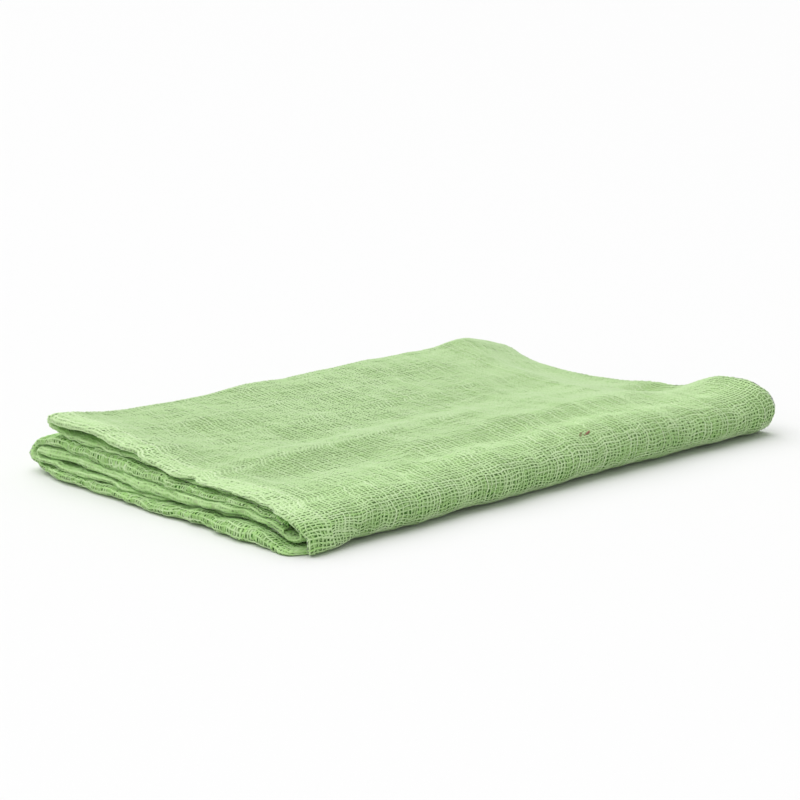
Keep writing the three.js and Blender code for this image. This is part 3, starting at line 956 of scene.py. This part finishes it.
# A bit of seed husk in the yarns: its place across the cloth and past the front fold,
# half its length, width and height, its slant, how far it stands off the yarns and
# how blunt its ends are, and its bits as shifts, size and slimness.
FLECK_ACROSS = 132.3
FLECK_PAST_FOLD = -7.0
FLECK_SIZE = (1.45, 0.48, 0.32)
FLECK_SLANT = 0.35
FLECK_LIFT = 0.1
FLECK_BLUNTNESS = 0.004
FLECK_BITS = (
    (0.0, 0.0, 1.0, 1.0),
    (-2.9, 0.5, 0.9, 0.4),
    (-1.9, -0.4, 0.7, 0.4),
    (1.0, 0.5, 0.6, 0.4),
    (-4.0, -0.4, 0.6, 0.4),
)
FLECK_RINGS = 7
FLECK_SIDES = 8
END_QUADS = ((0, 1, 2, 7), (2, 3, 6, 7), (3, 4, 5, 6))


def ply_frame(q, w):
    """A place on the outer ply and its directions along q, along w and outward."""
    step = 0.2
    place = outer_ply(np.array([q, q + step, q]), np.array([w, w, w + step]))
    along_q = unit(place[1] - place[0])
    along_w = unit(place[2] - place[0])
    return place[0], along_q, along_w, unit(np.cross(along_q, along_w))


def husk_bit(q, w, size, slim):
    """One slanting grain: its rings of points, in rows."""
    place, along_q, along_w, out = ply_frame(q, w)
    t = np.linspace(-1, 1, FLECK_RINGS)[:, None]
    turn = np.linspace(0, 2 * math.pi, FLECK_SIDES, endpoint=False)[None, :]
    thick = np.sqrt(np.maximum(1 - t**2, FLECK_BLUNTNESS)) * size * slim
    length = t * size * FLECK_SIZE[0] + 0 * turn
    wide = thick * np.cos(turn) * FLECK_SIZE[1] + FLECK_SLANT * length
    high = thick * np.sin(turn) * FLECK_SIZE[2]
    middle = place + out * (YARN_LIFT + YARN_HIGH + FLECK_LIFT)
    return middle + length[..., None] * along_q + wide[..., None] * along_w + high[..., None] * out


def seed_fleck():
    """A bit of seed husk caught in the yarns over the crest, with its fibres."""
    w_at = FLECK_PAST_FOLD + ribbon.end["front fold"]
    places = []
    faces = []
    for number, (across, past, size, slim) in enumerate(FLECK_BITS):
        rings = husk_bit(FLECK_ACROSS + across, w_at + past, size, slim)
        places.append(rings.reshape(-1, 3))
        first = number * FLECK_RINGS * FLECK_SIDES
        corner = first + np.arange(FLECK_RINGS * FLECK_SIDES).reshape(FLECK_RINGS, FLECK_SIDES)
        beside = np.roll(corner, -1, axis=1)
        walls = np.stack([corner[:-1], beside[:-1], beside[1:], corner[1:]], axis=-1)
        faces.append(walls.reshape(-1, 4))
        for end in (corner[0, ::-1], corner[-1]):
            faces.append(end[np.array(END_QUADS)])
    return make_mesh("seed_fleck", np.concatenate(places), np.concatenate(faces))


# ---------------------------------------------------------------- the materials
YARN_DEEP = (0.40, 0.725, 0.205, 1)
YARN_PALE = (0.70, 0.885, 0.525, 1)
# The gaps between the sheet's drawn threads are painted shade: dark green for the shaded plies under
# the weave.
GAP_SHADE_COLOUR = (0.06, 0.20, 0.028, 1)
THREAD_COLOUR = (0.46, 0.74, 0.28, 1)
CLOSED_UP_COLOUR = (0.49, 0.68, 0.33, 1)
CLOSED_UP_SHARE = 0.95
THREAD_EDGE = (0.56, 0.9)
THREAD_WANDER = 4
HUSK_DARK = (0.17, 0.065, 0.035, 1)
HUSK_PALE = (0.44, 0.27, 0.16, 1)


def linked(tree, source, target):
    tree.links.new(source, target)


def node(tree, kind, **values):
    made = tree.nodes.new(kind)
    for name, value in values.items():
        setattr(made, name, value)
    return made


def yarn_material():
    """Green cotton: tone picks a colour from deep to pale, with painted light and shade in it; shade
    dims it as painted shade over the top.
    """
    material = bpy.data.materials.new("green_cotton_yarn")
    material.use_nodes = True
    tree = material.node_tree
    tree.nodes.clear()
    output = node(tree, "ShaderNodeOutputMaterial")
    cotton = node(tree, "ShaderNodeBsdfPrincipled")
    cotton.inputs["Roughness"].default_value = 0.92
    cotton.inputs["Sheen Weight"].default_value = 0.4
    cotton.inputs["Sheen Roughness"].default_value = 0.5
    cotton.inputs["Specular IOR Level"].default_value = 0.2
    tone = node(tree, "ShaderNodeAttribute", attribute_name="tone")
    ramp = node(tree, "ShaderNodeValToRGB")
    ramp.color_ramp.elements[0].position = 0.0
    ramp.color_ramp.elements[0].color = YARN_DEEP
    ramp.color_ramp.elements[1].position = 1.0
    ramp.color_ramp.elements[1].color = YARN_PALE
    # The shade attribute is painted shade that dims the colour over the top.
    shade = node(tree, "ShaderNodeAttribute", attribute_name="shade")
    shaded = node(tree, "ShaderNodeVectorMath", operation="SCALE")
    linked(tree, tone.outputs["Fac"], ramp.inputs["Fac"])
    linked(tree, ramp.outputs["Color"], shaded.inputs["Vector"])
    linked(tree, shade.outputs["Fac"], shaded.inputs["Scale"])
    linked(tree, shaded.outputs["Vector"], cotton.inputs["Base Color"])
    linked(tree, cotton.outputs["BSDF"], output.inputs["Surface"])
    return material


def math_step(tree, operation, first, second=0.0):
    """A Math node; first and second are sockets or numbers."""
    made = node(tree, "ShaderNodeMath", operation=operation)
    for socket, value in zip(made.inputs, (first, second)):
        if isinstance(value, (int, float)):
            socket.default_value = value
        else:
            linked(tree, value, socket)
    return made.outputs["Value"]


def thread_lines(tree, place, pitch):
    """A mask of parallel threads over a length in metres."""
    turns = math_step(tree, "MULTIPLY", place, math.pi / (pitch * MM))
    wave = math_step(tree, "ABSOLUTE", math_step(tree, "COSINE", turns))
    lines = node(tree, "ShaderNodeMapRange", interpolation_type="SMOOTHSTEP")
    lines.inputs["From Min"].default_value = THREAD_EDGE[0]
    lines.inputs["From Max"].default_value = THREAD_EDGE[1]
    linked(tree, wave, lines.inputs["Value"])
    return lines.outputs["Result"]


def gauze_group():
    """The threads of a ply behind the one that shows, with painted shade in the gaps between them:
    colour and height.
    """
    group = bpy.data.node_groups.new("gauze_weave", "ShaderNodeTree")
    group.interface.new_socket("Place", in_out="INPUT", socket_type="NodeSocketVector")
    group.interface.new_socket("Color", in_out="OUTPUT", socket_type="NodeSocketColor")
    group.interface.new_socket("Height", in_out="OUTPUT", socket_type="NodeSocketFloat")
    start = node(group, "NodeGroupInput")
    end = node(group, "NodeGroupOutput")
    split = node(group, "ShaderNodeSeparateXYZ")
    linked(group, start.outputs["Place"], split.inputs["Vector"])
    wander = node(group, "ShaderNodeTexNoise")
    wander.inputs["Scale"].default_value = 260
    wander.inputs["Detail"].default_value = 2
    linked(group, start.outputs["Place"], wander.inputs["Vector"])
    apart = node(group, "ShaderNodeSeparateColor")
    linked(group, wander.outputs["Color"], apart.inputs["Color"])
    lines = []
    for axis, channel, pitch in (("X", "Red", WARP_PITCH), ("Y", "Green", WEFT_PITCH)):
        shift = math_step(group, "MULTIPLY", apart.outputs[channel], THREAD_WANDER * MM)
        place = math_step(group, "ADD", split.outputs[axis], shift)
        lines.append(thread_lines(group, place, pitch))
    cover = math_step(group, "MAXIMUM", lines[0], lines[1])
    ramp = node(group, "ShaderNodeValToRGB")
    ramp.color_ramp.elements[0].color = GAP_SHADE_COLOUR
    ramp.color_ramp.elements[1].color = THREAD_COLOUR
    linked(group, cover, ramp.inputs["Fac"])
    linked(group, ramp.outputs["Color"], end.inputs["Color"])
    linked(group, cover, end.inputs["Height"])
    return group


def ply_material():
    """The sheet behind the yarns: drawn threads with painted shade in their gaps, closed up to a
    plain colour toward the calm top.
    """
    material = bpy.data.materials.new("green_cotton_gauze")
    material.use_nodes = True
    tree = material.node_tree
    tree.nodes.clear()
    output = node(tree, "ShaderNodeOutputMaterial")
    cotton = node(tree, "ShaderNodeBsdfPrincipled")
    cotton.inputs["Roughness"].default_value = 0.95
    cotton.inputs["Specular IOR Level"].default_value = 0.1
    cloth_place = node(tree, "ShaderNodeUVMap", uv_map="cloth")
    weave = node(tree, "ShaderNodeGroup")
    weave.node_tree = gauze_group()
    bump = node(tree, "ShaderNodeBump")
    bump.inputs["Strength"].default_value = 0.5
    bump.inputs["Distance"].default_value = 0.0003
    linked(tree, cloth_place.outputs["UV"], weave.inputs["Place"])
    closed_up = node(tree, "ShaderNodeAttribute", attribute_name="tone")
    closer = node(tree, "ShaderNodeMix", data_type="RGBA")
    closer.inputs["B"].default_value = CLOSED_UP_COLOUR
    share = math_step(tree, "MULTIPLY", closed_up.outputs["Fac"], CLOSED_UP_SHARE)
    linked(tree, share, closer.inputs["Factor"])
    linked(tree, weave.outputs["Color"], closer.inputs["A"])
    linked(tree, closer.outputs["Result"], cotton.inputs["Base Color"])
    linked(tree, weave.outputs["Height"], bump.inputs["Height"])
    linked(tree, bump.outputs["Normal"], cotton.inputs["Normal"])
    linked(tree, cotton.outputs["BSDF"], output.inputs["Surface"])
    return material


def husk_material():
    """Mottled brown of the bit of seed husk."""
    material = bpy.data.materials.new("brown_seed_husk")
    material.use_nodes = True
    tree = material.node_tree
    husk = tree.nodes["Principled BSDF"]
    husk.inputs["Roughness"].default_value = 0.7
    place = node(tree, "ShaderNodeTexCoord")
    mottle = node(tree, "ShaderNodeTexNoise")
    mottle.inputs["Scale"].default_value = 2500
    ramp = node(tree, "ShaderNodeValToRGB")
    ramp.color_ramp.elements[0].position = 0.4
    ramp.color_ramp.elements[0].color = HUSK_DARK
    ramp.color_ramp.elements[1].position = 0.62
    ramp.color_ramp.elements[1].color = HUSK_PALE
    linked(tree, place.outputs["Object"], mottle.inputs["Vector"])
    linked(tree, mottle.outputs["Fac"], ramp.inputs["Fac"])
    linked(tree, ramp.outputs["Color"], husk.inputs["Base Color"])
    return material


def plain_material(name, colour, roughness):
    material = bpy.data.materials.new(name)
    material.use_nodes = True
    shader = material.node_tree.nodes["Principled BSDF"]
    shader.inputs["Base Color"].default_value = (*colour, 1)
    shader.inputs["Roughness"].default_value = roughness
    shader.inputs["Specular IOR Level"].default_value = 0.2
    return material


# ------------------------------------------------------------------ the dressing
sheet = gauze_sheet()
sheet.data.materials.append(ply_material())
yarn_look = yarn_material()
yarns = outer_net() + left_fold_net() + back_loop_net()
yarns += right_end_net("right_end_under", "bottom", "bottom", 400)
yarns += right_end_net("right_end_inner", "flap under", "middle", 500)
fleck = seed_fleck()
fleck.data.materials.append(husk_material())
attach(fleck, "root")
for piece in yarns:
    piece.data.materials.append(yarn_look)
    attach(piece, "root")
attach(sheet, "root")
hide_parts("play_cloth")

# ------------------------------------------------------- floor, lights and camera
FLOOR_SIZE = 14.0
bpy.ops.object.select_all(action="DESELECT")
bpy.ops.mesh.primitive_plane_add(size=FLOOR_SIZE, location=(0, 0, -0.0002))
floor = bpy.context.object
floor.name = "studio_floor"
floor.data.materials.append(plain_material("pale_floor", (0.84, 0.84, 0.84), 0.9))

sun_data = bpy.data.lights.new("soft_overhead", "SUN")
sun_data.energy = 2.45
sun_data.angle = math.radians(84)
sun = bpy.data.objects.new("soft_overhead", sun_data)
bpy.context.scene.collection.objects.link(sun)
sun.rotation_euler = (math.radians(-24), math.radians(-2.5), 0)

world = bpy.data.worlds.new("studio_white")
bpy.context.scene.world = world
world.use_nodes = True
world.node_tree.nodes["Background"].inputs["Color"].default_value = (1, 1, 1, 1)
world.node_tree.nodes["Background"].inputs["Strength"].default_value = 0.47
bpy.context.scene.view_settings.view_transform = "Standard"

CAMERA_PLACE = (-0.54951, -0.5834, 0.2090)
CAMERA_TURN = -43.0
CAMERA_DOWN = 13.36
camera_data = bpy.data.cameras.new("camera")
camera_data.sensor_width = 36
camera_data.lens = 105.3
camera = bpy.data.objects.new("camera", camera_data)
bpy.context.scene.collection.objects.link(camera)
camera.location = CAMERA_PLACE
camera.rotation_euler = (math.radians(90 - CAMERA_DOWN), 0, math.radians(CAMERA_TURN))
bpy.context.scene.camera = camera
